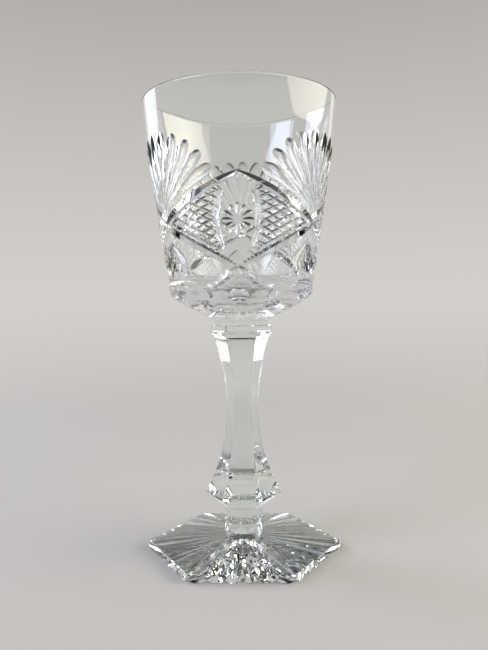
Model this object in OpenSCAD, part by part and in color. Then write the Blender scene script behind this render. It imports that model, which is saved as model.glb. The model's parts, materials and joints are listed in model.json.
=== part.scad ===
// Cut crystal wine glass: bucket bowl, concave six-sided stem with a flared knop,
// and a six-sided foot with a star of rays cut into its underside.
// The bowl, stem and foot are worked apart and welded on two short mereses.

/* [Bowl] */
// Height of the bowl from its weld face to the rim
bowl_h = 77; // [70:1:90]
// Outer diameter at the rim
rim_d = 68.8; // [62:0.2:76]
// Distance below the rim of the brow, where the side steepens
brow_drop = 15; // [12:0.5:17]
// How far the brow stands out past a straight side
brow_out = 0.7; // [0:0.1:1]
// Outer diameter where the side meets the bottom cone, before rounding
corner_d = 50.2; // [46:0.2:56]
// Height of that corner above the weld face
corner_h = 8.2; // [7:0.2:11]
// Rounding of that corner
corner_round = 4; // [3:0.5:6]
// Wall at the rim, which is fully rounded
rim_wall = 1.7; // [1.4:0.1:2.4]
// Wall at the bottom of the side, where the cutting needs thickness
side_wall = 3.8; // [3.4:0.1:5]
// Glass on the axis between the weld face and the inner floor
floor_h = 8; // [6:0.5:10]
// Rounding of the inner floor into the side
floor_round = 10; // [6:0.5:12]

/* [Cut diamonds] */
// Number of diamonds round the bowl
diamonds = 3; // [3:1:4]
// Height of the diamonds' side corners above the weld face
diamond_mid_h = 32.6; // [30:0.2:36]
// Height from a diamond's side corners to its upper or lower corner
diamond_rise = 14.8; // [12:0.2:16]
// Depth of the long mitre cuts that outline the diamonds
mitre_depth = 1.1; // [0.8:0.1:1.4]
// How far a mitre runs past the corner of its diamond, as a rise
mitre_overrun = 1; // [0.4:0.1:1.5]
// Angle between a mitre's flank and its middle plane
mitre_flank = 50; // [45:1:56]
// Length of the cuts that fork below each diamond
fork_len = 11.5; // [9:0.5:13]
// Slope of those fork cuts from level
fork_slope = 36; // [25:1:40]

/* [Rosettes] */
// Number of rays in the rosette within each diamond
rosette_rays = 12; // [8:2:16]
// Radius of the rosette
rosette_r = 5.6; // [4.5:0.1:6]
// Radius of the plain button in its middle
button_r = 0.9; // [0.8:0.1:2]
// Depth of its rays
rosette_depth = 0.7; // [0.3:0.05:0.8]
// Half the width of the frame cuts round the rosette, at its middle
frame_half_w = 6.5; // [6.4:0.1:8]
// Half the width of the frame at its ends
frame_end_half_w = 3.8; // [3:0.1:5]
// Half the height of the frame
frame_half_h = 10.6; // [9:0.1:11]
// Depth of the frame cuts
frame_depth = 0.7; // [0.4:0.1:1]

/* [Fans] */
// Number of rays in the fan above each corner between two diamonds
fan_rays = 11; // [7:2:13]
// Length of its rays from the root
fan_len = 27; // [22:0.5:29]
// Angle between neighbouring rays
fan_pitch = 12; // [8:0.5:12]
// Height of the fan's root above the diamond's side corner
fan_gap = 3.4; // [2.5:0.1:5]
// Depth of the fan's rays
fan_depth = 0.9; // [0.5:0.1:1.2]
// Angle between a ray's flank and its middle plane
fan_flank = 66; // [55:1:68]
// Number of rays in the small fan below that corner
lower_rays = 7; // [5:2:7]
// Length of the small fan's rays
lower_len = 15; // [11:0.5:17]
// Angle between the small fan's rays
lower_pitch = 15; // [10:0.5:16]
// Bare length of a ray at the root of either fan
fan_bare = 2; // [1:0.1:3]

/* [Thumbprints] */
// Number of hollows round the bowl's lower corner, and as many between them on its bottom
prints = 6; // [6:1:8]
// Radius of the round wheel that cuts them
print_wheel_r = 4.6; // [4.2:0.2:8]
// Depth of a hollow on the corner
print_depth = 1.7; // [0.8:0.1:2]
// Depth of a hollow on the bottom
low_print_depth = 1.3; // [0.6:0.1:1.6]
// Distance of the hollows on the bottom from the corner
low_print_inset = 4.2; // [4:0.2:7]

/* [Bowl merese] */
// Diameter of the short neck between bowl and stem
merese_d = 19.2; // [16:0.2:22]
// Height of that neck
merese_h = 1.7; // [1.2:0.1:3]

/* [Stem] */
// Height of the stem from the foot's neck to its upper face
stem_h = 64.9; // [56:0.5:76]
// Width across the flats of the collar under the bowl
collar_flats = 19.4; // [16.5:0.1:21]
// Height of the collar's upright edge
collar_h = 2.4; // [1.5:0.1:4]
// Width across the flats just below the collar
shoulder_flats = 17.4; // [15:0.1:19]
// Height of the step from the collar in to the shoulder
shoulder_h = 1.8; // [1:0.1:3]
// Width across the flats at the waist
waist_flats = 10; // [8:0.1:13]
// Height of the waist above the stem's lower face
waist_h = 34; // [30:0.5:38]
// Width across the flats of the knop
knop_flats = 23.8; // [20:0.1:28]
// Height of the knop's upright edge
knop_edge_h = 0.8; // [0.5:0.1:1.6]
// Height of the bevel under the knop
knop_bevel_h = 4.2; // [3:0.1:6]

/* [Foot neck] */
// Diameter of the short neck between stem and foot
neck_d = 14; // [11:0.2:16]
// Height of that neck
neck_h = 8.9; // [6:0.1:12]

/* [Foot] */
// Width across the flats of the six-sided foot
foot_flats = 60.4; // [54:0.2:68]
// Thickness of the foot at its edge
foot_edge_h = 2.9; // [2.4:0.1:4]
// Height of the foot at the neck
foot_h = 7.5; // [6:0.1:10]
// Width across the flats of the level seat under the neck
seat_flats = 14.6; // [14.4:0.1:18]
// Number of rays cut into the underside
star_rays = 36; // [24:6:42]
// Radius at which the rays begin
star_inner_r = 4.5; // [3:0.5:8]
// Depth of the rays at the middle of each side
star_depth = 1; // [0.6:0.1:1.4]
// Angle between a ray's flank and its middle plane
star_flank = 60; // [50:1:62]

/* [Hidden] */
$fn = 96;
sides = 6;
// Clearance of a cutting form past the solid that it cuts
past = 1;
// How far the ends of a cut lift out of the glass
cut_lift = 0.3;
// Flat bands that round the bowl's lower corner
corner_bands = 3;
// Runs of a long cut that bends round the bowl, and of a short one
long_runs = 6;
short_runs = 3;
// Straight steps that make up each curve of the stem
curve_steps = 12;
// Where along its length a fan's ray is deepest
ray_peak = 2 / 3;
// Fall of the depth towards a cut's ends: a higher power keeps it full for longer
mitre_power = 4;
ray_power = 2;
glass = "azure";

foot_neck_z = foot_h;
stem_z = foot_neck_z + neck_h;
merese_z = stem_z + stem_h;
bowl_z = merese_z + merese_h;

base_r = merese_d / 2;
corner_r = corner_d / 2;
rim_r = rim_d / 2;
brow_h = bowl_h - brow_drop;
brow_r = corner_r + (rim_r - corner_r) * (brow_h - corner_h) / (bowl_h - corner_h) + brow_out;
// Angles by which the side leans out from upright, below and above the brow
side_lean = atan((brow_r - corner_r) / (brow_h - corner_h));
rim_lean = atan((rim_r - brow_r) / brow_drop);
// Angle by which the bottom cone rises from level
bottom_slope = atan(corner_h / (corner_r - base_r));
// Arc per degree round the bowl, at a radius of 1
arc = PI / 180;

// Outer radius of the bowl's side below the brow, at height h above the weld face
function side_r(h) = corner_r + (h - corner_h) * tan(side_lean);

function unit(v) = v / norm(v);

// What a rounding of radius r takes off the corner p between points a and b
module corner_waste(a, p, b, r) {
    ua = unit(a - p);
    ub = unit(b - p);
    half = acos(ua * ub) / 2;
    middle = p + unit(ua + ub) * r / sin(half);
    difference() {
        polygon([p, p + ua * r / tan(half), middle, p + ub * r / tan(half)]);
        translate(middle) circle(r = r);
    }
}

// Half section of the bowl's outside, with flat bands round the corner
module bowl_outside() {
    turn = 90 - bottom_slope - side_lean;
    middle = [corner_r, corner_h]
        + corner_round / cos(turn / 2) * [-cos(side_lean + turn / 2), sin(side_lean + turn / 2)];
    bands = [
        for (i = [0 : corner_bands])
            let (down = side_lean + turn * (1 - i / corner_bands))
            middle + corner_round * [cos(down), -sin(down)]
    ];
    polygon(concat([[0, 0], [base_r, 0]], bands, [[brow_r, brow_h], [rim_r, bowl_h], [0, bowl_h]]));
}

// Half section of the hollow, open past the rim
module bowl_inside() {
    inner_rim_r = rim_r - rim_wall;
    inner_corner_r = corner_r - side_wall;
    lean = (inner_rim_r - inner_corner_r) / (bowl_h - floor_h);
    corner = [inner_corner_r, floor_h];
    mouth = [inner_rim_r + lean * past, bowl_h + past];
    difference() {
        polygon([[0, floor_h], corner, mouth, [0, bowl_h + past]]);
        corner_waste([0, floor_h], corner, mouth, floor_round);
    }
}

// Half section of the glass of the bowl, with its rounded lip
module bowl_section() {
    lip_r = rim_wall / 2;
    difference() {
        bowl_outside();
        bowl_inside();
        translate([0, bowl_h - lip_r]) square([rim_r + past, rim_wall]);
    }
    translate([rim_r - lip_r - lip_r * tan(rim_lean), bowl_h - lip_r]) circle(r = lip_r);
}

// Point over the bowl's side: at = [degrees round it, height above the weld face], lift out of the glass
function over_side(at, lift) = [
    (side_r(at.y) + lift * cos(side_lean)) * cos(at.x),
    (side_r(at.y) + lift * cos(side_lean)) * sin(at.x),
    at.y - lift * sin(side_lean)
];

// Moves a place on the side by a distance round the bowl and a distance up
function moved(at, along, up) = [at.x + along / (side_r(at.y) * arc), at.y + up];

// Depth at t along a cut, from 0 to 1: full at the peak, out of the glass at both ends
function cut_depth(t, depth, peak, power) =
    let (off = t < peak ? 1 - t / peak : (t - peak) / (1 - peak))
    depth - (depth + cut_lift) * pow(off, power);

// A V cut on the bowl's side, in a straight run from one place to another
module v_cut(from, to, depth, flank, runs, peak, power) {
    middle_r = side_r((from.y + to.y) / 2);
    course = [(to.x - from.x) * arc * middle_r, to.y - from.y];
    across = unit([-course.y, course.x]);
    stations = [
        for (i = [0 : runs])
            let (
                at = from + i / runs * (to - from),
                d = cut_depth(i / runs, depth, peak, power),
                half_w = (d + past) * tan(flank)
            )
            each [
                over_side(at, -d),
                over_side(moved(at, half_w * across.x, half_w * across.y), past),
                over_side(moved(at, -half_w * across.x, -half_w * across.y), past)
            ]
    ];
    walls = [
        for (i = [0 : runs - 1], side = [0 : 2])
            let (k = 3 * i + side, next = 3 * i + (side + 1) % 3)
            each [[next + 3, next, k], [k + 3, next + 3, k]]
    ];
    last = 3 * runs;
    polyhedron(stations, concat(walls, [[0, 1, 2], [last + 2, last + 1, last]]));
}

module mitre(from, to) {
    v_cut(from, to, mitre_depth, mitre_flank, long_runs, 1 / 2, mitre_power);
}

// The four sides of a diamond
module diamond_outline() {
    for (side = [-1, 1], half = [-1, 1]) {
        corner = [0, diamond_mid_h + half * diamond_rise];
        side_corner = [side * 180 / diamonds, diamond_mid_h];
        over = mitre_overrun / diamond_rise * (side_corner - corner);
        mitre(corner - over, side_corner + over);
    }
}

// The two cuts that fork below a diamond, down to the bowl's corner
module diamond_fork() {
    corner = [0, diamond_mid_h - diamond_rise];
    for (side = [-1, 1]) {
        end = moved(corner, side * fork_len * cos(fork_slope), -fork_len * sin(fork_slope));
        over = mitre_overrun / diamond_rise * (end - corner);
        mitre(corner - over, end);
    }
}

// Rays round a plain button in the middle of a diamond, between two bent frame cuts
module rosette() {
    centre = [0, diamond_mid_h];
    for (k = [0 : rosette_rays - 1]) {
        turn = 360 * k / rosette_rays;
        from = moved(centre, button_r * cos(turn), button_r * sin(turn));
        to = moved(centre, rosette_r * cos(turn), rosette_r * sin(turn));
        v_cut(from, to, rosette_depth, mitre_flank, short_runs, ray_peak, ray_power);
    }
    for (side = [-1, 1], half = [-1, 1]) {
        bend = moved(centre, side * frame_half_w, 0);
        end = moved(centre, side * frame_end_half_w, half * frame_half_h);
        v_cut(bend, end, frame_depth, mitre_flank, short_runs, 1 / 2, mitre_power);
    }
}

// Rays that spread from a root, up (side 1) or down (side -1)
module fan(root_h, side, rays, len, pitch) {
    root = [0, root_h];
    for (k = [-(rays - 1) / 2 : (rays - 1) / 2]) {
        dir = [sin(k * pitch), side * cos(k * pitch)];
        from = moved(root, fan_bare * dir.x, fan_bare * dir.y);
        to = moved(root, len * dir.x, len * dir.y);
        v_cut(from, to, fan_depth, fan_flank, short_runs, ray_peak, ray_power);
    }
}

// Hollows round the bowl's lower corner, and lower ones between them on the bottom cone
module thumbprints() {
    turn = 90 - bottom_slope - side_lean;
    out = side_lean + turn / 2;
    corner_cut = corner_round / cos(turn / 2) - corner_round;
    reach = print_wheel_r - print_depth - corner_cut;
    low_reach = print_wheel_r - low_print_depth;
    low_r = corner_r - low_print_inset * cos(bottom_slope) + low_reach * sin(bottom_slope);
    low_h = corner_h - low_print_inset * sin(bottom_slope) - low_reach * cos(bottom_slope);
    for (k = [0 : prints - 1]) {
        rotate([0, 0, 360 * k / prints])
            translate([corner_r + reach * cos(out), 0, corner_h - reach * sin(out)])
                sphere(r = print_wheel_r);
        rotate([0, 0, 360 * (k + 1 / 2) / prints])
            translate([low_r, 0, low_h])
                sphere(r = print_wheel_r);
    }
}

// One repeat of the pattern, with the diamond facing along +X
module diamond_cuts() {
    diamond_outline();
    diamond_fork();
    rosette();
    rotate([0, 0, 180 / diamonds]) {
        fan(diamond_mid_h + fan_gap, 1, fan_rays, fan_len, fan_pitch);
        fan(diamond_mid_h - fan_gap, -1, lower_rays, lower_len, lower_pitch);
    }
}

module bowl() {
    color(glass)
        translate([0, 0, bowl_z])
            difference() {
                rotate_extrude() bowl_section();
                for (k = [0 : diamonds - 1])
                    rotate([0, 0, 360 * k / diamonds - 90]) diamond_cuts();
                rotate([0, 0, -90]) thumbprints();
            }
}

module bowl_merese() {
    color(glass)
        translate([0, 0, merese_z]) cylinder(h = merese_h, d = merese_d);
}

// Six-sided solid with flats to front and back, from the section across its flats
module six_sided(width) {
    intersection_for(k = [0 : sides / 2 - 1])
        rotate([0, 0, 360 / sides * k])
            rotate([90, 0, 90])
                linear_extrude(height = 2 * width, center = true)
                    children();
}

// Half widths along a stretch of stem that curves in to the waist, rise above or below it
function waist_curve(waist, end, rise) =
    let (sag = end - waist, curve_r = (pow(rise, 2) + pow(sag, 2)) / (2 * sag))
    [
        for (i = [0 : curve_steps])
            let (z = rise * i / curve_steps)
            [waist + curve_r - sqrt(pow(curve_r, 2) - pow(z, 2)), waist_h + z]
    ];

function reversed(list) = [for (i = [len(list) - 1 : -1 : 0]) list[i]];

// Section across the flats of the stem, from its lower face
module stem_section() {
    waist = waist_flats / 2;
    knop = knop_flats / 2;
    shoulder = shoulder_flats / 2;
    collar = collar_flats / 2;
    flare_z = knop_bevel_h + knop_edge_h;
    collar_z = stem_h - collar_h;
    shoulder_z = collar_z - shoulder_h;
    lower = reversed(waist_curve(waist, knop, flare_z - waist_h));
    upper = waist_curve(waist, shoulder, shoulder_z - waist_h);
    right = concat(
        [[neck_d / 2, 0], [knop, knop_bevel_h]],
        lower,
        [for (i = [1 : curve_steps]) upper[i]],
        [[collar, collar_z], [collar, stem_h]]
    );
    left = [for (p = reversed(right)) [-p.x, p.y]];
    polygon(concat(right, left));
}

module stem() {
    color(glass)
        translate([0, 0, stem_z]) six_sided(knop_flats) stem_section();
}

module foot_neck() {
    color(glass)
        translate([0, 0, foot_neck_z]) cylinder(h = neck_h, d = neck_d);
}

// Section across the flats of the foot
module foot_section() {
    edge = foot_flats / 2;
    seat = seat_flats / 2;
    polygon([[-edge, 0], [edge, 0], [edge, foot_edge_h], [seat, foot_h], [-seat, foot_h], [-edge, foot_edge_h]]);
}

// One ray of the star: a wedge that starts at the inner radius and deepens outwards
module star_ray() {
    slope = atan(star_depth / (foot_flats / 2 - star_inner_r));
    len = foot_flats;
    height = len * sin(slope);
    translate([star_inner_r, 0, 0])
        rotate([0, -slope, 0])
            rotate([90, 0, 90])
                linear_extrude(height = len)
                    polygon([[0, 0], [-height * tan(star_flank), -height], [height * tan(star_flank), -height]]);
}

module foot() {
    color(glass)
        difference() {
            six_sided(foot_flats) foot_section();
            for (k = [0 : star_rays - 1])
                rotate([0, 0, 360 * k / star_rays]) star_ray();
        }
}

bowl();
bowl_merese();
stem();
foot_neck();
foot();
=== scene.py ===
"""Cut crystal wine glass: bucket bowl, waisted six-sided stem with a knop, and star-cut foot."""
import json
from math import acos, atan, atan2, cos, pi, radians, sin, sqrt, tan

import bmesh
import bpy
import numpy as np
from bpy.props import FloatProperty, FloatVectorProperty, IntProperty, PointerProperty
from mathutils import Matrix, Vector

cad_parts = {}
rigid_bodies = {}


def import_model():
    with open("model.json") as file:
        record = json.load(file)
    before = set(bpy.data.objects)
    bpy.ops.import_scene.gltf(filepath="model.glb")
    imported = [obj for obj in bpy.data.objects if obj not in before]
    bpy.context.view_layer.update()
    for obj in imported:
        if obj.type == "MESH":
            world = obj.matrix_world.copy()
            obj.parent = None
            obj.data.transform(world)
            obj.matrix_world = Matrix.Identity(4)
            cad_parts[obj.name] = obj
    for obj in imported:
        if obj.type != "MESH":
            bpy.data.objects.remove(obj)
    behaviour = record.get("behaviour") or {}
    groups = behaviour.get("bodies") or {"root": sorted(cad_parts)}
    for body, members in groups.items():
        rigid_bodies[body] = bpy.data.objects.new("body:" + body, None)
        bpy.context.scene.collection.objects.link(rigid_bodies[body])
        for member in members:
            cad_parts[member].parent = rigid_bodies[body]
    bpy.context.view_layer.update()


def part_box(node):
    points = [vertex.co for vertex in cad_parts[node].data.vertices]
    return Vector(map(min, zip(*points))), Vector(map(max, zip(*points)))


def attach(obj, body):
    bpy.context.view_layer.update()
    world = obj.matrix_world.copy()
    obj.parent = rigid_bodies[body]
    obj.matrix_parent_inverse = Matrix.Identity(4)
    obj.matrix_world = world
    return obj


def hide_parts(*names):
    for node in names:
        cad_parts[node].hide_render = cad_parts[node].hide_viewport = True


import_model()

bl_info = {
    "name": "Cut crystal wine glass",
    "version": (1, 0, 0),
    "blender": (4, 5, 0),
    "location": "View3D > Sidebar > Wine glass",
    "description": "Turns, cuts and welds the pieces of a cut crystal wine glass",
    "category": "Object",
}

MM = 0.001
# Typical for lead crystal
CRYSTAL_IOR = 1.545
# Edges sharper than this stay crisp, as cut and pressed arrises are
ARRIS_ANGLE = radians(13)
# A face within this distance and tilt of the turned section is uncut
TURNED_SLACK = 0.03 * MM
TURNED_TILT = radians(6)
# Edges as short as this are welded after cutting
SLIVER = 0.002 * MM
# Width of the edge left round a weld face
WELD_EDGE = 0.12 * MM
# How far a V-edged form reaches out of the glass, and the ends of its cut lift out of it
PAST_GLASS = 0.25 * MM
END_LIFT = 0.2 * MM
# Where along a cut it is deepest, and a power: a higher one keeps it deep for longer
MITRE_PROFILE = (0.5, 4)
RAY_PROFILE = (0.68, 2)
HATCH_PROFILE = (0.5, 6)
# Straight steps along each kind of cut
RUNS = {"mitre": 32, "fork": 16, "ray": 10, "frame": 24, "hatch": 16, "lower_ray": 14}
# Material slots of every piece
GLASS_SLOT, WELD_SLOT, ARRIS_SLOT = range(3)
# Sides of the stem and foot, and half the turn from one to the next
SIDES = 6
HALF_SIDE = pi / SIDES


def linear(hex_colour):
    """Linear RGB of an sRGB hex value."""
    parts = [int(hex_colour[i : i + 2], 16) / 255 for i in (0, 2, 4)]
    return tuple(c / 12.92 if c <= 0.04045 else ((c + 0.055) / 1.055) ** 2.4 for c in parts)


def length(name, description, mm):
    """A length, with its default in millimetres."""
    shown = {"precision": 5, "subtype": "DISTANCE", "unit": "LENGTH"}
    return FloatProperty(name=name, description=description, default=mm * MM, min=0, **shown)


def angle(name, description, degrees):
    """An angle, with its default in degrees."""
    shown = {"subtype": "ANGLE", "unit": "ROTATION"}
    return FloatProperty(name=name, description=description, default=radians(degrees), **shown)


def count(name, description, number):
    """A number of like things."""
    return IntProperty(name=name, description=description, default=number, min=1)


def colour(name, description, hex_colour):
    """A colour, with its default as an sRGB hex value."""
    shown = {"size": 3, "min": 0, "max": 1, "subtype": "COLOR"}
    return FloatVectorProperty(name=name, description=description, default=linear(hex_colour), **shown)


class BowlSizes(bpy.types.PropertyGroup):
    rim_d: length("Rim diameter", "Outer diameter at the rim", 68.8)
    brow_drop: length("Brow drop", "Distance below the rim of the brow, where the side steepens", 15)
    brow_out: length("Brow stand-out", "How far the brow stands out past a straight side", 0.7)
    brow_round: length("Brow rounding", "Radius of the slow curve over the brow", 140)
    corner_d: length("Corner diameter", "Outer diameter where the side meets the bottom cone", 50.2)
    corner_h: length("Corner height", "Height of that corner above the weld face", 8.2)
    corner_round: length("Corner rounding", "Rounding of that corner", 4)
    rim_wall: length("Rim wall", "Wall at the rim, which is fully rounded", 1.7)
    side_wall: length("Side wall", "Wall at the bottom of the side", 3.8)
    floor_h: length("Floor height", "Glass on the axis under the inner floor", 8)
    floor_round: length("Floor rounding", "Rounding of the inner floor into the side", 10)


class CutSizes(bpy.types.PropertyGroup):
    diamonds: count("Diamonds", "Number of diamonds round the bowl", 3)
    mid_h: length("Diamond height", "Height of their side corners above the weld face", 32.6)
    rise: length("Diamond rise", "Height from a diamond's side corners to its upper corner", 14.8)
    mitre_depth: length("Mitre depth", "Depth of the long cuts that outline the diamonds", 1.1)
    mitre_overrun: length("Mitre overrun", "Rise of a mitre's run past its diamond's corner", 1)
    mitre_flank: angle("Mitre flank", "Angle between a mitre's flank and its middle plane", 50)
    fork_len: length("Fork length", "Length of the cuts that fork below each diamond", 11.5)
    fork_slope: angle("Fork slope", "Slope of those fork cuts from level", 36)
    rosette_rays: count("Rosette rays", "Rays in the rosette within each diamond", 12)
    rosette_r: length("Rosette radius", "Radius of the rosette", 5.6)
    button_r: length("Button radius", "Radius of the plain button in its middle", 0.9)
    rosette_depth: length("Rosette depth", "Depth of its rays", 0.7)
    frame_half_w: length("Frame half width", "Half the width of the frame cuts round the rosette", 6.5)
    frame_end_half_w: length("Frame end half width", "Half the width of the frame at its ends", 3.8)
    frame_half_h: length("Frame half height", "Half the height of the frame", 10.6)
    frame_depth: length("Frame depth", "Depth of the frame cuts", 0.7)
    hatch_pitch: length("Hatch pitch", "Rise between the hatching cuts", 2.6)
    hatch_depth: length("Hatch depth", "Depth of the hatching cuts", 0.45)
    fan_rays: count("Fan flutes", "Flutes in the fan above each corner between two diamonds", 11)
    fan_len: length("Fan length", "Length of the flutes from the root", 27)
    fan_pitch: angle("Fan pitch", "Angle between neighbouring flutes", 12)
    fan_gap: length("Fan gap", "Height of the fan's root above that corner", 3.4)
    fan_wheel_r: length("Flute radius", "Radius of the round wheel edge that cuts the flutes", 3.6)
    lower_rays: count("Lower rays", "Rays in the small fan below that corner", 7)
    lower_len: length("Lower length", "Length of the small fan's rays", 15)
    lower_pitch: angle("Lower pitch", "Angle between the small fan's rays", 15)
    lower_depth: length("Lower depth", "Depth of the small fan's rays", 0.8)
    prints: count("Thumbprints", "Hollows round the lower corner, with as many between them below", 6)
    print_wheel_r: length("Thumbprint radius", "Radius of the round wheel that cuts them", 4.6)
    print_depth: length("Thumbprint depth", "Depth of a hollow on the corner", 1.7)
    low_print_depth: length("Low thumbprint depth", "Depth of a hollow on the bottom", 1.3)
    low_print_inset: length("Low thumbprint inset", "Distance of the lower hollows from the corner", 4.2)


class StemSizes(bpy.types.PropertyGroup):
    collar_flats: length("Collar", "Width across the flats of the collar under the bowl", 19.4)
    collar_h: length("Collar height", "Height of the collar's upright edge", 2.4)
    shoulder_flats: length("Shoulder", "Width across the flats just below the collar", 17.4)
    shoulder_h: length("Shoulder height", "Height of the step from the collar in to the shoulder", 1.8)
    waist_flats: length("Waist", "Width across the flats at the waist", 10)
    waist_h: length("Waist height", "Height of the waist above the stem's lower face", 34)
    knop_flats: length("Knop", "Width across the flats of the knop", 23.8)
    knop_edge_h: length("Knop edge", "Height of the knop's upright edge", 0.8)
    knop_bevel_h: length("Knop bevel", "Height of the bevel under the knop", 4.2)
    arris: length("Arris", "Flat taken off the stem's upright arrises", 0.3)
    foot_flats: length("Foot", "Width across the flats of the six-sided foot", 60.4)
    foot_edge_h: length("Foot edge", "Thickness of the foot at its edge", 2.9)
    seat_flats: length("Seat", "Width across the flats of the level seat under the neck", 14.6)
    star_rays: count("Star rays", "Rays cut into the underside of the foot", 36)
    star_inner_r: length("Star inner radius", "Radius at which the rays begin", 4.5)
    star_depth: length("Star depth", "Depth of the rays at the middle of each side", 1)
    star_flank: angle("Star flank", "Angle between a ray's flank and its middle plane", 60)


class GlassColours(bpy.types.PropertyGroup):
    bowl: colour("Bowl", "Tint of the blown bowl", "F8FAFA")
    cut: colour("Cuts", "Tint of the cut faces", "F8FAFB")
    stem: colour("Stem and foot", "Tint of the thicker pressed glass", "F1F7F5")
    paper: colour("Paper", "Colour of the floor and the cove behind it", "D3D0CC")
    left_light: colour("Left light", "Colour of the soft light on the left", "DCE7FF")
    right_light: colour("Right light", "Colour of the soft light on the right", "FFF3DE")


def add(tree, kind, inputs=None, **settings):
    """Adds a node with its settings; an input is a value, an output or a node, for its first output."""
    node = tree.nodes.new(kind)
    for name, value in settings.items():
        setattr(node, name, value)
    for name, value in (inputs or {}).items():
        if isinstance(value, bpy.types.Node):
            value = value.outputs[0]
        if isinstance(value, bpy.types.NodeSocket):
            tree.links.new(value, node.inputs[name])
        else:
            node.inputs[name].default_value = value
    return node


def new_material(name):
    """An empty node material."""
    material = bpy.data.materials.new(name)
    material.use_nodes = True
    material.node_tree.nodes.clear()
    return material


def crystal(name, tint, wave, wave_height, grit, roughest, smoothest=0.0):
    """Clear lead crystal with slow waves, and polishing marks of a grit's size.

    roughest and smoothest are its roughness in the marks and between them."""
    material = bpy.data.materials.get(name)
    if material:
        return material
    material = new_material(name)
    tree = material.node_tree
    place = add(tree, "ShaderNodeTexCoord").outputs["Object"]
    waves = add(tree, "ShaderNodeTexNoise", {"Vector": place, "Scale": 1 / wave, "Detail": 1.0})
    marks = add(tree, "ShaderNodeTexNoise", {"Vector": place, "Scale": 1 / grit, "Detail": 3.0})
    # The noise's middling values are bare glass, and its peaks are marks
    span = {"From Min": 0.4, "From Max": 0.75, "To Min": smoothest, "To Max": roughest}
    rough = add(tree, "ShaderNodeMapRange", {"Value": marks, **span})
    bump = add(tree, "ShaderNodeBump", {"Height": waves, "Strength": 1.0, "Distance": wave_height})
    inputs = {"IOR": CRYSTAL_IOR, "Transmission Weight": 1.0, "Roughness": rough, "Normal": bump}
    glass = add(tree, "ShaderNodeBsdfPrincipled", {"Base Color": (*tint, 1), **inputs})
    add(tree, "ShaderNodeOutputMaterial", {"Surface": glass})
    return material


def blown_crystal(colours):
    """Blown and fire-polished: mirror smooth, with slow waves that bend what is seen through it."""
    name = "blown_lead_crystal_fire_polished"
    return crystal(name, colours.bowl, 11 * MM, 0.02 * MM, grit=1.2 * MM, roughest=0.012)


def cut_crystal(colours):
    """Wheel-cut and acid-polished: crisp facets, less smooth than blown glass, so sparkle spreads."""
    name = "cut_lead_crystal_acid_polished"
    return crystal(name, colours.cut, 2.5 * MM, 0.006 * MM, grit=0.6 * MM, roughest=0.05)


def pressed_crystal(colours):
    """Pressed in a mould, then fire-polished: even faces with a faint drag that softens reflections."""
    name = "pressed_lead_crystal_fire_polished"
    return crystal(name, colours.stem, 6 * MM, 0.012 * MM, grit=0.9 * MM, roughest=0.03)


def worn_arris(colours):
    """Arris of pressed crystal, dulled by wear: light spreads, so each edge shows as a soft line."""
    name = "pressed_lead_crystal_worn_arris"
    return crystal(name, colours.stem, 2 * MM, 0.004 * MM, grit=0.4 * MM, roughest=0.5, smoothest=0.3)


def weld_in_crystal():
    """Hot weld in one glass: the faces are melted together, so light goes straight on."""
    name = "hot_weld_in_lead_crystal"
    material = bpy.data.materials.get(name)
    if material:
        return material
    material = new_material(name)
    clear = add(material.node_tree, "ShaderNodeBsdfPrincipled", {"Alpha": 0.0})
    add(material.node_tree, "ShaderNodeOutputMaterial", {"Surface": clear})
    return material


def pressed_finishes(colours):
    """Materials of a pressed piece, in the order of the slots."""
    return [pressed_crystal(colours), weld_in_crystal(), worn_arris(colours)]


def line_run(start, end, steps):
    """Points and normals of a straight run of a turned section; outside is on the right along it."""
    start, end = np.array(start, float), np.array(end, float)
    way = (end - start) / np.linalg.norm(end - start)
    points = start + np.linspace(0, 1, steps + 1)[:, None] * (end - start)
    return points, np.tile([way[1], -way[0]], (steps + 1, 1))


def arc_run(centre, radius, first, last, steps):
    """Points and normals of an arc of a turned section; a falling angle turns it to a hollow one."""
    turns = np.linspace(first, last, steps + 1)
    out = np.column_stack([np.cos(turns), np.sin(turns)])
    return np.array(centre) + radius * out, out if last > first else -out


def corner_arc(before, corner, after, radius, steps):
    """Arc that rounds the corner of a turned section, with tangents to both sides."""
    before, corner, after = (np.array(p, float) for p in (before, corner, after))
    back = (before - corner) / np.linalg.norm(before - corner)
    ahead = (after - corner) / np.linalg.norm(after - corner)
    half = acos(back @ ahead) / 2
    middle = (back + ahead) / np.linalg.norm(back + ahead)
    centre = corner + middle * radius / sin(half)
    first = corner + back * radius / tan(half) - centre
    last = corner + ahead * radius / tan(half) - centre
    start = atan2(first[1], first[0])
    turn = (atan2(last[1], last[0]) - start + pi) % (2 * pi) - pi
    return arc_run(centre, radius, start, start + turn, steps)


def turned(name, runs, segments, materials, welds=()):
    """Turns the runs of a section into a closed mesh; welds numbers the runs that are weld faces."""
    bm = bmesh.new()
    turns = np.linspace(0, 2 * pi, segments, endpoint=False)
    rings = []
    for number, (points, _) in enumerate(runs):
        for k, (r, z) in enumerate(points):
            if rings and k == 0:
                rings[-1][1] = number
                continue
            on_axis = r < 1e-9
            places = [(0, 0, z)] if on_axis else [(r * cos(t), r * sin(t), z) for t in turns]
            rings.append([[bm.verts.new(place) for place in places], number])
    for (lower, number), (upper, _) in zip(rings, rings[1:]):
        for i in range(segments):
            j = (i + 1) % segments
            corners = [lower[i % len(lower)], lower[j % len(lower)]]
            corners += [upper[j % len(upper)], upper[i % len(upper)]]
            face = bm.faces.new(list(dict.fromkeys(corners)))
            face.material_index = WELD_SLOT if number in welds else GLASS_SLOT
    bmesh.ops.recalc_face_normals(bm, faces=bm.faces)
    return finished_mesh(bm, name, materials)


def skin(bm, one, two):
    """Faces between two rings of as many corners."""
    sides = [(i, (i + 1) % len(one)) for i in range(len(one))]
    return [bm.faces.new((one[i], one[j], two[j], two[i])) for i, j in sides]


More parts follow.
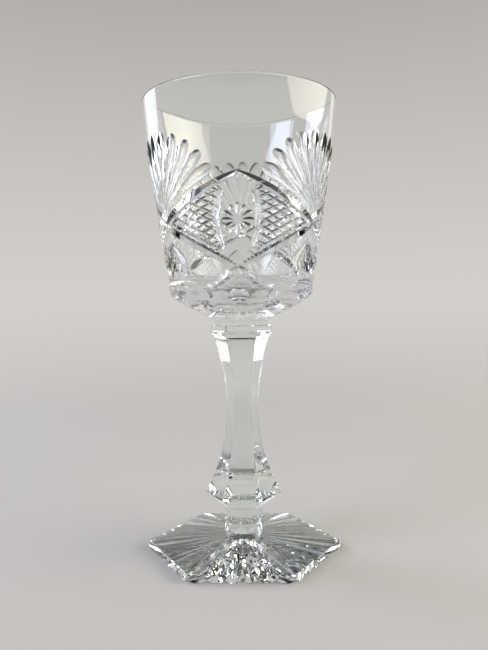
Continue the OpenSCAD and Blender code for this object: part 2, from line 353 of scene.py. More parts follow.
def finished_mesh(bm, name, materials):
    """Writes a bmesh to a new object at the origin."""
    mesh = bpy.data.meshes.new(name)
    bm.to_mesh(mesh)
    bm.free()
    for material in materials:
        mesh.materials.append(material)
    return bpy.data.objects.new(name, mesh)


def crisp(mesh):
    """Smooth shading between crisp arrises."""
    mesh.shade_smooth()
    mesh.set_sharp_from_angle(angle=ARRIS_ANGLE)


def read(rows, name, kind=float, width=1):
    """One value of each row of a mesh's data, as an array."""
    values = np.empty(len(rows) * width, kind)
    rows.foreach_get(name, values)
    return values.reshape(-1, width) if width > 1 else values


class TurnedSection:
    """The runs of a turned section, as one row of short straight pieces."""

    def __init__(self, runs):
        self.starts = np.vstack([points[:-1] for points, _ in runs])
        self.ways = np.vstack([points[1:] for points, _ in runs]) - self.starts
        self.spans = (self.ways**2).sum(1)
        self.start_normals = np.vstack([normals[:-1] for _, normals in runs])
        self.end_normals = np.vstack([normals[1:] for _, normals in runs])

    def nearest(self, places):
        """Distance to the turned surface and its normal there, for places in space."""
        flat = np.column_stack([np.hypot(places[:, 0], places[:, 1]), places[:, 2]])
        far = np.empty(len(flat))
        normals = np.empty((len(flat), 3))
        # In blocks, to keep the tables of distances small
        for block in np.array_split(np.arange(len(flat)), max(1, len(flat) // 4000)):
            offsets = flat[block, None] - self.starts
            along = np.clip((offsets * self.ways).sum(2) / self.spans, 0, 1)
            gaps = np.linalg.norm(offsets - along[..., None] * self.ways, axis=2)
            rows, best = np.arange(len(block)), gaps.argmin(1)
            t = along[rows, best][:, None]
            n = (1 - t) * self.start_normals[best] + t * self.end_normals[best]
            n /= np.linalg.norm(n, axis=1)[:, None]
            radius = np.maximum(flat[block, 0], 1e-9)[:, None]
            normals[block] = np.column_stack([n[:, :1] * places[block, :2] / radius, n[:, 1]])
            far[block] = gaps[rows, best]
        return far, normals


def polish(mesh, runs):
    """Gives the uncut faces of a turned piece its exact normals; cut faces keep their own."""
    crisp(mesh)
    section = TurnedSection(runs)
    far, exact = section.nearest(read(mesh.polygons, "center", width=3))
    facing = (exact * read(mesh.polygons, "normal", width=3)).sum(1)
    left = (far < TURNED_SLACK) & (facing > cos(TURNED_TILT))
    corners = np.repeat(left, read(mesh.polygons, "loop_total", int))
    points = read(mesh.vertices, "co", width=3)[read(mesh.loops, "vertex_index", int)[corners]]
    normals = read(mesh.corner_normals, "vector", width=3)
    normals[corners] = section.nearest(points)[1]
    mesh.normals_split_custom_set(normals.tolist())


def wheel_cutting_tree():
    """Node tree that repeats cutting forms round the axis and cuts them out of the glass."""
    tree = bpy.data.node_groups.new("wheel_cutting", "GeometryNodeTree")
    sockets = {"Glass": "Geometry", "Cuts": "Collection", "Repeats": "Int", "Finish": "Material"}
    for name, kind in sockets.items():
        tree.interface.new_socket(name, in_out="INPUT", socket_type=f"NodeSocket{kind}")
    tree.interface.new_socket("Cut glass", in_out="OUTPUT", socket_type="NodeSocketGeometry")
    given = add(tree, "NodeGroupInput").outputs
    inputs = {"Collection": given["Cuts"], "Separate Children": True}
    cuts = add(tree, "GeometryNodeCollectionInfo", inputs)
    inputs = {"Geometry": cuts, "Amount": given["Repeats"]}
    copies = add(tree, "GeometryNodeDuplicateElements", inputs, domain="INSTANCE")
    step = add(tree, "ShaderNodeMath", {0: 2 * pi, 1: given["Repeats"]}, operation="DIVIDE")
    inputs = {0: copies.outputs["Duplicate Index"], 1: step}
    turn = add(tree, "ShaderNodeMath", inputs, operation="MULTIPLY")
    upright = add(tree, "ShaderNodeCombineXYZ", {"Z": turn})
    inputs = {"Instances": copies, "Rotation": upright, "Local Space": False}
    ring = add(tree, "GeometryNodeRotateInstances", inputs)
    inputs = {0: given["Glass"], 1: ring}
    ground = add(tree, "GeometryNodeMeshBoolean", inputs, operation="DIFFERENCE", solver="MANIFOLD")
    whole = add(tree, "GeometryNodeRealizeInstances", {0: ground})
    from_wheel = add(tree, "GeometryNodeInputNamedAttribute", {"Name": "cut"}, data_type="BOOLEAN")
    inputs = {"Geometry": whole, "Selection": from_wheel, "Material": given["Finish"]}
    finish = add(tree, "GeometryNodeSetMaterial", inputs)
    add(tree, "NodeGroupOutput", {0: finish})
    return tree


def wheel_cut(glass, forms, repeats, finish):
    """Cuts the forms, repeated round the axis, out of a piece of glass and leaves a plain mesh."""
    collection = bpy.data.collections.new("cutting_forms")
    for form in forms:
        collection.objects.link(form)
    tree = bpy.data.node_groups.get("wheel_cutting") or wheel_cutting_tree()
    bpy.context.scene.collection.objects.link(glass)
    modifier = glass.modifiers.new("wheel_cutting", "NODES")
    modifier.node_group = tree
    values = {"Cuts": collection, "Repeats": repeats, "Finish": finish}
    for socket in tree.interface.items_tree:
        if socket.name in values:
            modifier[socket.identifier] = values[socket.name]
    blank = glass.data
    evaluated = glass.evaluated_get(bpy.context.evaluated_depsgraph_get())
    mesh = bpy.data.meshes.new_from_object(evaluated)
    if len(mesh.polygons) <= len(blank.polygons):
        raise RuntimeError(f"{glass.name} was not cut")
    glass.modifiers.remove(modifier)
    glass.data = mesh
    bpy.data.meshes.remove(blank)
    bpy.data.collections.remove(collection)
    for form in forms:
        bpy.data.meshes.remove(form.data)
    weld_slivers(mesh)
    return mesh


def weld_slivers(mesh):
    """Welds the slivers that cutting leaves, so that the mesh stays closed as plain triangles."""
    bm = bmesh.new()
    bm.from_mesh(mesh)
    bmesh.ops.triangulate(bm, faces=bm.faces)
    bmesh.ops.remove_doubles(bm, verts=bm.verts, dist=SLIVER)
    bmesh.ops.dissolve_degenerate(bm, edges=bm.edges, dist=SLIVER)
    bmesh.ops.triangulate(bm, faces=bm.faces)
    bm.to_mesh(mesh)
    bm.free()


def cutting_form(name, stations):
    """Closed form swept through rings of points."""
    bm = bmesh.new()
    rings = [[bm.verts.new(p) for p in station] for station in stations]
    for one, two in zip(rings, rings[1:]):
        skin(bm, one, two)
    bm.faces.new(rings[0])
    bm.faces.new(rings[-1])
    bmesh.ops.triangulate(bm, faces=bm.faces)
    bmesh.ops.recalc_face_normals(bm, faces=bm.faces)
    return marked_form(bm, name)


def marked_form(bm, name):
    """Object of a cutting form, with its faces marked so that what they cut can be told."""
    form = finished_mesh(bm, name, [])
    marks = form.data.attributes.new("cut", "BOOLEAN", "FACE")
    marks.data.foreach_set("value", [True] * len(form.data.polygons))
    return form


class BowlSide:
    """Places on the outside of the bowl's side: turn from the front, height above the weld face."""

    def __init__(self, bowl, weld_z):
        self.weld_z = weld_z
        self.corner_r, self.corner_h = bowl.corner_d / 2, bowl.corner_h
        self.rim_r, self.rim_h = bowl.rim_d / 2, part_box("bowl")[1].z - weld_z
        self.brow_h = self.rim_h - bowl.brow_drop
        straight = (self.rim_r - self.corner_r) / (self.rim_h - self.corner_h)
        self.brow_r = self.corner_r + straight * (self.brow_h - self.corner_h) + bowl.brow_out
        self.lean = atan((self.brow_r - self.corner_r) / (self.brow_h - self.corner_h))

    def radius(self, h):
        """Radius of the side at a height."""
        return self.corner_r + (h - self.corner_h) * tan(self.lean)

    def over(self, turn, h, lift):
        """Point in space over a place on the side."""
        r = self.radius(h) + lift * cos(self.lean)
        return (r * sin(turn), -r * cos(turn), self.weld_z + h - lift * sin(self.lean))

    def moved(self, place, along, up):
        """Place moved by a distance round the bowl and a distance up."""
        return (place[0] + along / self.radius(place[1]), place[1] + up)

    def courses(self, places):
        """Unit vectors across the course through the places, as distances round the bowl and up."""
        places = np.array(places)
        steps = np.gradient(places, axis=0)
        steps[:, 0] *= [self.radius(h) for h in places[:, 1]]
        steps /= np.linalg.norm(steps, axis=1)[:, None]
        return np.column_stack([-steps[:, 1], steps[:, 0]])

    def swept(self, name, places, sections):
        """Form through the places; a section is distances across its course and out of the glass."""
        stations = []
        for place, section, (x, y) in zip(places, sections, self.courses(places)):
            stations.append([self.over(*self.moved(place, w * x, w * y), lift) for w, lift in section])
        return cutting_form(name, stations)

    def v_form(self, name, places, depths, flank):
        """Form of a V-edged wheel that runs through the places at those depths."""
        sections = []
        for depth in depths:
            # Off the glass the edge stays just under the form's outer face
            depth = max(depth, -0.9 * PAST_GLASS)
            half = (depth + PAST_GLASS) * tan(flank)
            sections.append([(0, -depth), (half, PAST_GLASS), (-half, PAST_GLASS)])
        return self.swept(name, places, sections)

    def v_cut(self, name, start, end, depth, profile, flank):
        """Form of a V-edged wheel that runs straight from one place to another."""
        runs = RUNS[name]
        return self.v_form(name, run_places(start, end, runs), run_depths(depth, *profile, runs), flank)

    def flute_form(self, name, places, depths, wheel_r):
        """Form of a round-edged wheel that runs through the places at those depths."""
        corners = 40
        turns = np.linspace(0, 2 * pi, corners, endpoint=False)
        sections = [
            [(wheel_r * sin(t), wheel_r - depth - wheel_r * cos(t)) for t in turns]
            for depth in depths
        ]
        return self.swept(name, places, sections)


def run_places(start, end, runs):
    """Evenly spaced places from one to another."""
    start, end = np.array(start), np.array(end)
    return [tuple(start + t * (end - start)) for t in np.linspace(0, 1, runs + 1)]


def run_depths(depth, peak, power, runs):
    """Depths along a cut: full at the peak, out of the glass at both ends."""
    t = np.linspace(0, 1, runs + 1)
    off = np.where(t < peak, 1 - t / peak, (t - peak) / (1 - peak))
    return depth - (depth + END_LIFT) * off**power


def diamond_forms(side, cut):
    """The mitres that outline a diamond and those that fork below it."""
    forms = []
    finish = (cut.mitre_depth, MITRE_PROFILE, cut.mitre_flank)
    half_turn = pi / cut.diamonds
    past_corner = cut.mitre_overrun / cut.rise
    for hand in (-1, 1):
        aside = np.array([hand * half_turn, cut.mid_h])
        for half in (-1, 1):
            corner = np.array([0, cut.mid_h + half * cut.rise])
            over = past_corner * (aside - corner)
            forms.append(side.v_cut("mitre", corner - over, aside + over, *finish))
        corner = np.array([0, cut.mid_h - cut.rise])
        along, down = cut.fork_len * cos(cut.fork_slope), cut.fork_len * sin(cut.fork_slope)
        end = np.array(side.moved(corner, hand * along, -down))
        over = past_corner * (end - corner)
        forms.append(side.v_cut("fork", corner - over, end, *finish))
    return forms


def frame_offset(cut, up):
    """Distance of a bent frame cut from its diamond's middle, at a height above that."""
    return cut.frame_half_w - (cut.frame_half_w - cut.frame_end_half_w) * (up / cut.frame_half_h) ** 2


def rosette_forms(side, cut):
    """Rays round a plain button, between two bent frame cuts."""
    forms = []
    centre = (0, cut.mid_h)
    for k in range(cut.rosette_rays):
        turn = 2 * pi * k / cut.rosette_rays
        radii = (cut.button_r, cut.rosette_r)
        ends = [side.moved(centre, r * cos(turn), r * sin(turn)) for r in radii]
        forms.append(side.v_cut("ray", *ends, cut.rosette_depth, RAY_PROFILE, cut.mitre_flank))
    runs = RUNS["frame"]
    depths = run_depths(cut.frame_depth, *MITRE_PROFILE, runs)
    ups = np.linspace(-cut.frame_half_h, cut.frame_half_h, runs + 1)
    for hand in (-1, 1):
        places = [side.moved(centre, hand * frame_offset(cut, up), up) for up in ups]
        forms.append(side.v_form("frame", places, depths, cut.mitre_flank))
    return forms


def hatch_forms(side, cut):
    """Crossed hatching between the frame and the side corners of a diamond."""
    # Bare glass left at the diamond's far side and at the frame
    side_gap, frame_gap = 0.6 * MM, 0.9 * MM
    shortest = 2 * MM
    finish = (cut.hatch_depth, HATCH_PROFILE, cut.mitre_flank)
    forms = []
    centre = (0, cut.mid_h)
    reach = pi / cut.diamonds * side.radius(cut.mid_h)

    def height(x, drop):
        """Height above the diamond's middle of a line at a drop below its upper side."""
        return cut.rise * (1 - x / reach) - drop

    for k in range(1, int(2 * cut.rise / cut.hatch_pitch)):
        drop = k * cut.hatch_pitch
        end = reach * (1 - drop / (2 * cut.rise)) - side_gap
        # Settles on where the line meets the bent frame
        start = cut.frame_half_w
        for _ in range(12):
            up = min(abs(height(start, drop)), cut.frame_half_h)
            start = frame_offset(cut, up) + frame_gap
        if end - start < shortest:
            continue
        for hand in (-1, 1):
            for half in (-1, 1):
                ends = [side.moved(centre, hand * x, half * height(x, drop)) for x in (start, end)]
                forms.append(side.v_cut("hatch", *ends, *finish))
    return forms


def fan_forms(side, cut):
    """Flutes that spread up from between two diamonds, and V rays that spread down."""
    # Where a flute begins and is widest, and a lower ray begins, as shares of their lengths
    flute_begin, flute_widest, ray_begin = 0.12, 0.8, 0.15
    ray_flank = radians(62)
    # Flutes overlap by a hair, so that they meet in crisp arrises
    overlap = 1.03
    tip_lift = 0.05 * MM
    spread = tan(cut.fan_pitch / 2) * overlap

    def meeting_depth(way):
        """Depth at which a flute is as wide as its share of the fan, at a way from the root."""
        return cut.fan_wheel_r - sqrt(cut.fan_wheel_r**2 - (way * spread) ** 2)

    widest = flute_widest * cut.fan_len
    opening = np.linspace(flute_begin * cut.fan_len, widest, 16)
    closing = np.linspace(widest, cut.fan_len, 12)[1:]
    deepest = meeting_depth(widest)
    off = (closing - widest) / (cut.fan_len - widest)
    depths = [meeting_depth(way) for way in opening] + list(deepest - (deepest + tip_lift) * off**2)
    forms = []
    half_turn = pi / cut.diamonds
    root = (half_turn, cut.mid_h + cut.fan_gap)
    for k in np.arange(cut.fan_rays) - (cut.fan_rays - 1) / 2:
        turn = k * cut.fan_pitch
        ways = (*opening, *closing)
        places = [side.moved(root, way * sin(turn), way * cos(turn)) for way in ways]
        forms.append(side.flute_form("flute", places, depths, cut.fan_wheel_r))
    root = (half_turn, cut.mid_h - cut.fan_gap)
    for k in np.arange(cut.lower_rays) - (cut.lower_rays - 1) / 2:
        turn = k * cut.lower_pitch
        ways = (ray_begin * cut.lower_len, cut.lower_len)
        ends = [side.moved(root, way * sin(turn), -way * cos(turn)) for way in ways]
        forms.append(side.v_cut("lower_ray", *ends, cut.lower_depth, RAY_PROFILE, ray_flank))
    return forms


def thumbprint_forms(side, bowl, cut, base_r):
    """Round hollows on the lower corner, and lower ones between them on the bottom cone."""
    slope = atan(bowl.corner_h / (side.corner_r - base_r))
    bend = pi / 2 - slope - side.lean
    out = side.lean + bend / 2
    reach = cut.print_wheel_r - cut.print_depth - bowl.corner_round * (1 / cos(bend / 2) - 1)
    low_reach = cut.print_wheel_r - cut.low_print_depth
    inset = cut.low_print_inset
    low_r = side.corner_r - inset * cos(slope) + low_reach * sin(slope)
    low_h = side.corner_h - inset * sin(slope) - low_reach * cos(slope)
    # Radius, height and shift round the bowl of each row
    rows = (
        (side.corner_r + reach * cos(out), side.corner_h - reach * sin(out), 0),
        (low_r, low_h, 0.5),
    )
    forms = []
    for r, h, shift in rows:
        for k in range(cut.prints // cut.diamonds):
            turn = 2 * pi * (k + shift) / cut.prints
            bm = bmesh.new()
            bmesh.ops.create_uvsphere(bm, u_segments=72, v_segments=36, radius=cut.print_wheel_r)
            centre = (r * sin(turn), -r * cos(turn), side.weld_z + h)
            bmesh.ops.translate(bm, verts=bm.verts, vec=centre)
            bmesh.ops.triangulate(bm, faces=bm.faces)
            forms.append(marked_form(bm, "thumbprint"))
    return forms


def bowl_runs(bowl, side, weld_r, base_r):
    """Runs of the bowl's section, from the middle of its weld face over the rim to its inner floor."""
    z, rim_h, rim_r = side.weld_z, side.rim_h, side.rim_r
    base, corner = (base_r, z), (side.corner_r, z + bowl.corner_h)
    brow, rim = (side.brow_r, z + side.brow_h), (rim_r, z + rim_h)
    rim_lean = atan((rim_r - side.brow_r) / bowl.brow_drop)
    lip_r = bowl.rim_wall / 2
    lip = np.array([rim_r - lip_r * (1 + tan(rim_lean)), z + rim_h - lip_r])
    inner_corner = (side.corner_r - bowl.side_wall, z + bowl.floor_h)
    inner_rim = (rim_r - bowl.rim_wall, z + rim_h)
    inner_lean = atan((inner_rim[0] - inner_corner[0]) / (rim_h - bowl.floor_h))
    rounding = corner_arc(base, corner, brow, bowl.corner_round, 10)
    brow_arc = corner_arc(corner, brow, rim, bowl.brow_round, 8)
    lip_round = arc_run(lip, lip_r, -rim_lean, pi + inner_lean, 12)
    hollow = corner_arc(inner_rim, inner_corner, (0, inner_corner[1]), bowl.floor_round, 14)
    return [
        line_run((0, z), (weld_r, z), 1),
        line_run((weld_r, z), base, 1),
        line_run(base, rounding[0][0], 6),
        rounding,
        line_run(rounding[0][-1], brow_arc[0][0], 22),
        brow_arc,
        line_run(brow_arc[0][-1], lip_round[0][0], 4),
        lip_round,
        line_run(lip_round[0][-1], hollow[0][0], 16),
        hollow,
        line_run(hollow[0][-1], (0, inner_corner[1]), 4),
    ]


def six_sided(name, section, arris, materials, weld_low=None, weld_high=None):
    """Six-sided piece with flats to front and back, through half widths across them and heights.

    weld_low and weld_high are the radii of the round weld faces on its ends."""
    per_flat = 10
    bm = bmesh.new()

    def ring(half, z):
        """Corners of one level, as many on each flat."""
        reach = half * tan(HALF_SIDE) - arris
        along = np.linspace(-reach, reach, per_flat)
        points = []
        for k in range(SIDES):
            turn = HALF_SIDE + 2 * k * HALF_SIDE
            x, y = cos(turn), sin(turn)
            points += [(half * x - t * y, half * y + t * x, z) for t in along]
        return points

    rings = [[bm.verts.new(p) for p in ring(half, z)] for half, z in section]
    for one, two in zip(rings, rings[1:]):
        for i, face in enumerate(skin(bm, one, two)):
            on_arris = (i + 1) % per_flat == 0
            face.material_index = ARRIS_SLOT if on_arris else GLASS_SLOT
    ends = ((rings[0], weld_low, section[0][1]), (rings[-1], weld_high, section[-1][1]))
    for outline, weld_r, z in ends:
        inner = outline
        if weld_r:
            inner = []
            for v in outline:
                flat = v.co.xy.normalized() * weld_r
                inner.append(bm.verts.new((flat.x, flat.y, z)))
            skin(bm, outline, inner)
        middle = bm.verts.new((0, 0, z))
        for i in range(len(inner)):
            face = bm.faces.new((inner[i], inner[(i + 1) % len(inner)], middle))
            face.material_index = WELD_SLOT if weld_r else GLASS_SLOT
    bmesh.ops.recalc_face_normals(bm, faces=bm.faces)
    return finished_mesh(bm, name, materials)


def place_piece(piece, node):
    """Puts a finished piece in the frame, in the place of a CAD node."""
    placed = bpy.context.scene.collection.objects
    if piece.name not in placed:
        placed.link(piece)
    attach(piece, "root")
    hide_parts(node)


def neck_radius(node):
    """Radius of a neck."""
    low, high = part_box(node)
    return (high.x - low.x) / 2


def weld_radius(node):
    """Radius of the round weld faces on a neck, just inside its edge."""
    return neck_radius(node) - WELD_EDGE


class WINEGLASS_OT_bowl(bpy.types.Operator):
    """Turn the bowl and cut its diamonds, rosettes, fans and thumbprints"""

    bl_idname = "wineglass.bowl"
    bl_label = "Bowl"

    def execute(self, context):
        scene = context.scene
        bowl, cut, colours = scene.wineglass_bowl, scene.wineglass_cuts, scene.wineglass_colours
        weld_r, base_r = weld_radius("bowl_merese"), neck_radius("bowl_merese")
        side = BowlSide(bowl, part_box("bowl")[0].z)
        runs = bowl_runs(bowl, side, weld_r, base_r)
        finishes = [blown_crystal(colours), weld_in_crystal()]
        piece = turned("CutBowl", runs, 192, finishes, welds=(0,))
        forms = diamond_forms(side, cut) + rosette_forms(side, cut) + hatch_forms(side, cut)
        forms += fan_forms(side, cut) + thumbprint_forms(side, bowl, cut, base_r)
        mesh = wheel_cut(piece, forms, cut.diamonds, cut_crystal(colours))
        polish(mesh, runs)
        place_piece(piece, "bowl")
        return {"FINISHED"}


class WINEGLASS_OT_necks(bpy.types.Operator):
    """Turn the two short necks that the bowl, stem and foot are welded on"""

    bl_idname = "wineglass.necks"
    bl_label = "Necks"

    def execute(self, context):
        colours = context.scene.wineglass_colours
        finishes = [pressed_crystal(colours), weld_in_crystal()]
        steps = 12
        # Each with how far its wall is drawn in
        necks = (("bowl_merese", "BowlMerese", 0.0), ("foot_neck", "FootNeck", 0.25 * MM))
        for node, name, hollow in necks:
            low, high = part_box(node)
            weld_r, radius = weld_radius(node), neck_radius(node)
            heights = np.linspace(low.z + WELD_EDGE, high.z - WELD_EDGE, steps + 1)
            waist = radius - hollow * np.sin(np.linspace(0, pi, steps + 1))
            outline = [(0, low.z), (weld_r, low.z), *zip(waist, heights), (weld_r, high.z), (0, high.z)]
            runs = [line_run(start, end, 1) for start, end in zip(outline, outline[1:])]
            piece = turned(name, runs, 96, finishes, welds=(0, len(runs) - 1))
            crisp(piece.data)
            place_piece(piece, node)
        return {"FINISHED"}


class WINEGLASS_OT_stem(bpy.types.Operator):
    """Make the six-sided stem with its collar, waist and flared knop"""

    bl_idname = "wineglass.stem"
    bl_label = "Stem"

    def execute(self, context):
        stem, colours = context.scene.wineglass_stem, context.scene.wineglass_colours
        low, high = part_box("stem")
        stem_h = high.z - low.z
        knop, waist = stem.knop_flats / 2, stem.waist_flats / 2
        shoulder, collar = stem.shoulder_flats / 2, stem.collar_flats / 2
        flare_h = stem.knop_bevel_h + stem.knop_edge_h
        collar_low = stem_h - stem.collar_h
        shoulder_top = collar_low - stem.shoulder_h

        def curve(end, rise, steps):
            """Half widths and heights of a hollow curve from the waist to an end."""
            sag = end - waist
            radius = (rise**2 + sag**2) / (2 * sag)
            ups = rise * np.linspace(0, 1, steps + 1)
            return [(waist + radius - sqrt(radius**2 - up**2), stem.waist_h + up) for up in ups]

        # Bevels that take the edge off the knop and collar
        soft = 0.15 * MM
        section = [(neck_radius("foot_neck"), 0)]
        section += [(knop - soft, stem.knop_bevel_h - soft), (knop, stem.knop_bevel_h)]
        section += curve(knop, flare_h - stem.waist_h, 40)[::-1]
        section += curve(shoulder, shoulder_top - stem.waist_h, 36)[1:]
        section += [(collar - soft, collar_low - soft), (collar, collar_low + soft)]
        section += [(collar, stem_h - soft), (collar - soft, stem_h)]
        section = [(half, low.z + h) for half, h in section]
        piece = six_sided(
            "SixSidedStem",
            section,
            stem.arris,
            pressed_finishes(colours),
            weld_low=weld_radius("foot_neck"),
            weld_high=min(weld_radius("bowl_merese"), collar - 2 * soft),
        )
        crisp(piece.data)
        place_piece(piece, "stem")
        return {"FINISHED"}


class WINEGLASS_OT_foot(bpy.types.Operator):
    """Make the six-sided foot and cut the star of rays into its underside"""

    bl_idname = "wineglass.foot"
    bl_label = "Foot"

    def execute(self, context):
        foot, colours = context.scene.wineglass_stem, context.scene.wineglass_colours
        low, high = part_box("foot")
        edge, seat = foot.foot_flats / 2, foot.seat_flats / 2
        # Bevels that take the edge off the foot
        soft = 0.2 * MM
        section = [
            (edge - soft, low.z),
            (edge, low.z + soft),
            (edge, low.z + foot.foot_edge_h - soft),
            (edge - soft, low.z + foot.foot_edge_h),
            (seat, high.z),
        ]
        weld_r = weld_radius("foot_neck")
        finishes = pressed_finishes(colours)
        piece = six_sided("SixSidedFoot", section, foot.arris, finishes, weld_high=weld_r)
        fall = foot.star_depth / (edge - foot.star_inner_r)
        # A ray's form begins under the foot, a hair wide, and runs out past the corners
        past, hair = 0.3 * MM, 0.001 * MM
        stations = []
        for r in (foot.star_inner_r - past / fall, 1.3 * edge):
            depth = (r - foot.star_inner_r) * fall
            half = (depth + past) * tan(foot.star_flank) + hair
            stations.append([(r, 0, low.z + depth), (r, half, low.z - past), (r, -half, low.z - past)])
        star = cutting_form("star_ray", stations)
        mesh = wheel_cut(piece, [star], foot.star_rays, cut_crystal(colours))
        crisp(mesh)
        place_piece(piece, "foot")
        return {"FINISHED"}


def paper_sweep(colours):
    """Paper: even and matt, with a fibre grain that only shows close up; past the floor the camera and
    the glass see a glow instead, with painted shade above.
    """
    paper = new_material("paper_sweep_with_painted_shade")
    tree = paper.node_tree
    place = add(tree, "ShaderNodeTexCoord").outputs["Object"]
    fibre = add(tree, "ShaderNodeTexNoise", {"Vector": place, "Scale": 1 / (2 * MM), "Detail": 4.0})
    bump = add(tree, "ShaderNodeBump", {"Height": fibre, "Strength": 0.05, "Distance": 0.1 * MM})
    pale = (*colours.paper, 1)
    inputs = {"Base Color": pale, "Roughness": 0.9, "Specular IOR Level": 0.1, "Normal": bump}
    matt = add(tree, "ShaderNodeBsdfPrincipled", inputs)
    # Past the floor the camera and the glass see the paper as a glow at an even level that fades
    # upwards, painted shade towards the top
    height = add(tree, "ShaderNodeSeparateXYZ", {"Vector": place}).outputs["Z"]
    inputs = {"Value": height, "From Min": 0.1, "From Max": 1.2, "To Min": 1.0, "To Max": 0.5}
    painted_fade_upwards = add(tree, "ShaderNodeMapRange", inputs)
    # Painted shade: above the picture the glass sees the paper dark, which draws its edges and cuts,
    # while the camera sees none of it
    inputs = {"Value": height, "From Min": 0.5, "From Max": 0.8, "To Min": 1.0, "To Max": 0.05}
    painted_dark_above = add(tree, "ShaderNodeMapRange", inputs, interpolation_type="SMOOTHSTEP")
    seen = add(tree, "ShaderNodeLightPath").outputs
    by_camera = seen["Is Camera Ray"]
    painted_shade_for_glass = add(tree, "ShaderNodeMath", {0: painted_dark_above, 1: by_camera}, operation="MAXIMUM")
    level = add(tree, "ShaderNodeMath", {0: painted_fade_upwards, 1: painted_shade_for_glass}, operation="MULTIPLY")
    glow = add(tree, "ShaderNodeEmission", {"Color": pale, "Strength": level})
    # Nothing else sees that level, so it lights nothing
    inputs = {0: seen["Is Glossy Ray"], 1: seen["Is Transmission Ray"]}
    by_glass = add(tree, "ShaderNodeMath", inputs, operation="MAXIMUM")
    by_either = add(tree, "ShaderNodeMath", {0: by_camera, 1: by_glass}, operation="MAXIMUM")
    paper.cycles.emission_sampling = "NONE"
    reach = add(tree, "ShaderNodeVectorMath", {0: place}, operation="LENGTH")
    inputs = {"Value": reach.outputs["Value"], "From Min": 0.15, "From Max": 0.85}
    past_floor = add(tree, "ShaderNodeMapRange", inputs, interpolation_type="SMOOTHSTEP")
    share = add(tree, "ShaderNodeMath", {0: past_floor, 1: by_either}, operation="MULTIPLY")
    sweep = add(tree, "ShaderNodeMixShader", {0: share, 1: matt, 2: glow})
    add(tree, "ShaderNodeOutputMaterial", {"Surface": sweep})
    return paper


def paper_cove(paper):
    """Round floor that sweeps up into a wall all round."""
    floor_r, bend_r, top = 0.4, 1.0, 1.2
    wall_r = floor_r + bend_r
    # The paper lies a hair under the foot, so that light finds its way between them
    floor_z = -0.1 * MM
    runs = [
        line_run((0, floor_z), (floor_r, floor_z), 4),
        arc_run((floor_r, floor_z + bend_r), bend_r, -pi / 2, 0, 32),
        line_run((wall_r, floor_z + bend_r), (wall_r, top), 2),
    ]
    cove = turned("PaperCove", runs, 96, [paper])
    cove.data.shade_smooth()
    return cove


def soft_light(name, tint, watts, beam, size, middle, target):
    """Rectangular soft light with a beam of so many degrees."""
    lamp = bpy.data.lights.new(name, "AREA")
    lamp.shape = "RECTANGLE"
    lamp.size, lamp.size_y = size
    lamp.energy = watts
    lamp.spread = radians(beam)
    lamp.color = tint
    light = bpy.data.objects.new(name, lamp)
    aim = (Vector(target) - Vector(middle)).to_track_quat("-Z", "Y").to_matrix().to_4x4()
    light.matrix_world = Matrix.Translation(middle) @ aim
    light.visible_camera = False
    return light


def dim_world():
    """Faint cool light from all round."""
    world = bpy.data.worlds.new("studio")
    world.use_nodes = True
    tree = world.node_tree
    tree.nodes.clear()
    cool_white = (0.9, 0.95, 1.0, 1)
    ambient = add(tree, "ShaderNodeBackground", {"Color": cool_white, "Strength": 0.12})
    add(tree, "ShaderNodeOutputWorld", {"Surface": ambient})
    return world


def close_camera():
    """Camera close to the glass, level with its middle and a little turned."""
    lens = bpy.data.cameras.new("camera")
    lens.sensor_fit = "VERTICAL"
    lens.sensor_height = 36
    lens.lens = 35.98
    lens.clip_start = 0.01
    around, down, roll = (radians(degrees) for degrees in (1.7, 2.12, -0.62))
    camera = bpy.data.objects.new("camera", lens)
    camera.matrix_world = (
        Matrix.Rotation(around, 4, "Z")
        @ Matrix.Translation((0.00083, -0.2339, 0.08995))
        @ Matrix.Rotation(pi / 2 - down, 4, "X")
        @ Matrix.Rotation(roll, 4, "Z")
    )
    return camera


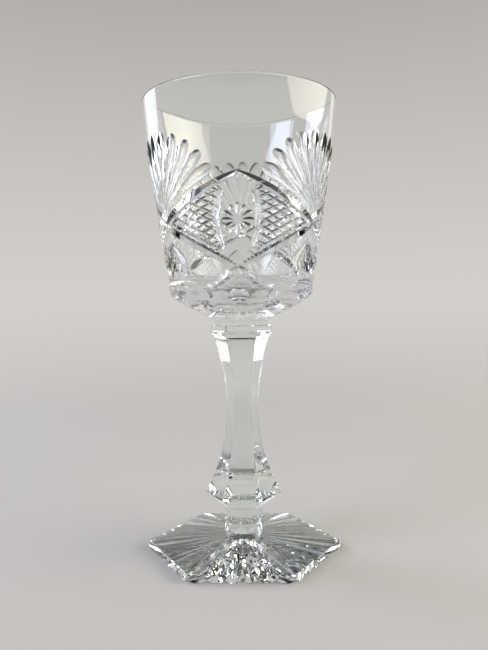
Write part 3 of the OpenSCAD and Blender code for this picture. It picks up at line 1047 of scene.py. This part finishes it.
class WINEGLASS_OT_stage(bpy.types.Operator):
    """Set up the paper floor and cove, the soft lights and the camera"""

    bl_idname = "wineglass.stage"
    bl_label = "Stage"

    def execute(self, context):
        scene, colours = context.scene, context.scene.wineglass_colours
        place = scene.collection.objects.link
        cove = paper_cove(paper_sweep(colours))
        place(cove)
        warm, cool, white = colours.right_light, colours.left_light, (1, 1, 1)
        # Each with its colour, watts, beam, width and height, and place
        lights = {
            "right_window": (warm, 5, 110, (1.6, 0.5), (0.95, -0.1, 0.5)),
            "left_window": (cool, 3.2, 110, (0.7, 0.6), (-0.95, -0.6, 0.5)),
            "back_left_window": (cool, 1.8, 110, (0.5, 0.6), (-0.85, 0.5, 0.45)),
            "back_right_strip": (warm, 0.17, 110, (0.2, 0.7), (0.72, 0.8, 0.35)),
            "back_left_strip": (cool, 0.17, 110, (0.2, 0.7), (-0.72, 0.8, 0.35)),
            "overhead": (white, 6, 180, (1.4, 1.4), (0, 0.1, 1.8)),
        }
        target = (0, 0, 0.09)
        for name, light in lights.items():
            place(soft_light(name, *light, target))
        scene.world = dim_world()
        scene.camera = close_camera()
        place(scene.camera)
        scene.view_settings.view_transform = "Standard"
        # Light crosses many faces on its way through cut glass
        cycles = scene.cycles
        cycles.max_bounces = cycles.transmission_bounces = 24
        cycles.transparent_max_bounces = 16
        cycles.glossy_bounces = 8
        return {"FINISHED"}


class WINEGLASS_PT_panel(bpy.types.Panel):
    """Sizes, colours and making of the wine glass"""

    bl_idname = "WINEGLASS_PT_panel"
    bl_label = "Cut crystal wine glass"
    bl_space_type = "VIEW_3D"
    bl_region_type = "UI"
    bl_category = "Wine glass"

    def draw(self, context):
        layout = self.layout
        for group, (_, title) in GROUPS.items():
            box = layout.box()
            box.label(text=title)
            values = getattr(context.scene, group)
            for name in values.bl_rna.properties.keys():
                if name not in ("rna_type", "name"):
                    box.prop(values, name)
        for operator in OPERATORS:
            layout.operator(operator.bl_idname)


GROUPS = {
    "wineglass_bowl": (BowlSizes, "Bowl"),
    "wineglass_cuts": (CutSizes, "Cutting"),
    "wineglass_stem": (StemSizes, "Stem and foot"),
    "wineglass_colours": (GlassColours, "Colours"),
}
OPERATORS = (
    WINEGLASS_OT_bowl,
    WINEGLASS_OT_necks,
    WINEGLASS_OT_stem,
    WINEGLASS_OT_foot,
    WINEGLASS_OT_stage,
)


def register():
    for group, (sizes, _) in GROUPS.items():
        bpy.utils.register_class(sizes)
        setattr(bpy.types.Scene, group, PointerProperty(type=sizes))
    for part in (*OPERATORS, WINEGLASS_PT_panel):
        bpy.utils.register_class(part)


def unregister():
    for part in (WINEGLASS_PT_panel, *reversed(OPERATORS)):
        bpy.utils.unregister_class(part)
    for group, (sizes, _) in reversed(GROUPS.items()):
        delattr(bpy.types.Scene, group)
        bpy.utils.unregister_class(sizes)


def main():
    register()
    bpy.ops.wineglass.bowl()
    bpy.ops.wineglass.necks()
    bpy.ops.wineglass.stem()
    bpy.ops.wineglass.foot()
    bpy.ops.wineglass.stage()


if __name__ == "__main__":
    main()
